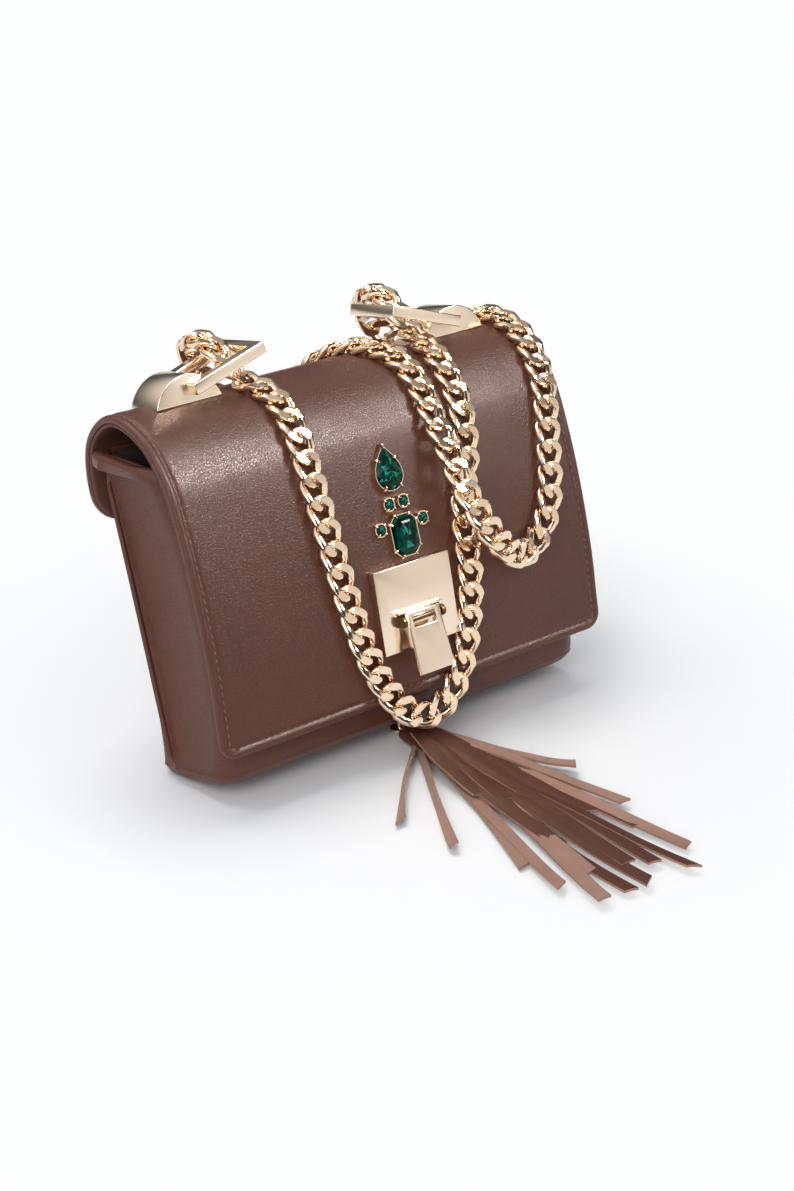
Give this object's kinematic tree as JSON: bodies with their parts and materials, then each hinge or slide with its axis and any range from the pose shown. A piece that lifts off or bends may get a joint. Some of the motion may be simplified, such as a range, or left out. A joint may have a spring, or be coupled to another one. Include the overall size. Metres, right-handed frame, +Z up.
{
  "type": "chain shoulder bag",
  "caption": "Small structured shoulder bag with a wrap-over flap, flip lock, set stones, pivoting strap rings, a doubled curb chain and a leather tassel.",
  "frame": {"origin": "middle of the rear bottom edge, on the surface that the bag rests on", "axes": "+X across the bag to its right as seen from the front, +Y to the back, +Z up; the bag leans back on its rear edge"},
  "size_m": [0.2, 0.2458, 0.1662],
  "materials": {
    "body_leather": "satin",
    "edge_leather": "satin",
    "suede": "matt",
    "lining_cloth": "matt",
    "board": "matt",
    "pale_gold": "polished",
    "plate_metal": "brushed",
    "steel": "satin",
    "emerald": "polished"
  },
  "bodies": {
    "body": {"base_panel": "body_leather", "back_panel": "body_leather", "front_panel": "body_leather", "mouth_binding": "edge_leather", "body_board": "board", "lining": "lining_cloth", "body_magnet": "steel", "flap_back": "body_leather", "tassel_post": "pale_gold"},
    "flap": {"flap_outer": "body_leather", "flap_board": "board", "flap_lining": "edge_leather", "flap_magnet": "steel", "lock_plate": "plate_metal", "lock_knuckle": "pale_gold", "lock_pin": "pale_gold", "lock_backing": "steel", "lock_rivets": "pale_gold", "octagon_setting": "pale_gold", "octagon_stone": "emerald", "pear_setting": "pale_gold", "pear_stone": "emerald", "small_settings": "pale_gold", "small_stones": "emerald", "stone_rivets": "pale_gold", "arch_left": "plate_metal", "arch_right": "plate_metal", "arch_backings": "steel", "arch_screws": "steel", "chain_left_crest": "pale_gold", "chain_front_left": "pale_gold", "chain_low_loop": "pale_gold", "chain_front_right": "pale_gold", "chain_right_crest": "pale_gold", "chain_side_loop": "pale_gold", "chain_cross": "pale_gold", "chain_back": "pale_gold"},
    "lock_lever": {"lock_lever": "plate_metal"},
    "left_ring": {"ring_left": "plate_metal", "ring_left_pin": "pale_gold"},
    "right_ring": {"ring_right": "plate_metal", "ring_right_pin": "pale_gold"},
    "tassel": {"tassel_sleeve": "body_leather", "tassel_eye": "pale_gold", "tassel_fringe_low": "suede", "tassel_fringe_middle": "body_leather", "tassel_fringe_top": "body_leather"}
  },
  "joints": [
    {"name": "flap_hinge", "type": "hinge", "parent": "body", "child": "flap", "pos_m": [0, 0.04132, 0.11595], "axis": [-1, 0, 0], "range_deg": [0, 135], "deforming": ["chain_left_crest", "chain_front_left", "chain_low_loop", "chain_front_right", "chain_right_crest", "chain_side_loop", "chain_cross", "chain_back"]},
    {"name": "lock_lever_hinge", "type": "hinge", "parent": "flap", "child": "lock_lever", "pos_m": [0, -0.04405, 0.05715], "axis": [-1, 0, 0], "range_deg": [0, 80]},
    {"name": "left_ring_pivot", "type": "hinge", "parent": "flap", "child": "left_ring", "pos_m": [-0.0655, 0.02473, 0.15], "axis": [0, -0.9763, 0.2164], "range_deg": [-5, 75]},
    {"name": "right_ring_pivot", "type": "hinge", "parent": "flap", "child": "right_ring", "pos_m": [0.0655, 0.02473, 0.15], "axis": [0, 0.9763, -0.2164], "range_deg": [-5, 75]},
    {"name": "tassel_swivel", "type": "hinge", "parent": "body", "child": "tassel", "pos_m": [0, -0.031, 0.003], "axis": [0, 0, 1], "range_deg": [-25, 25]}
  ]
}
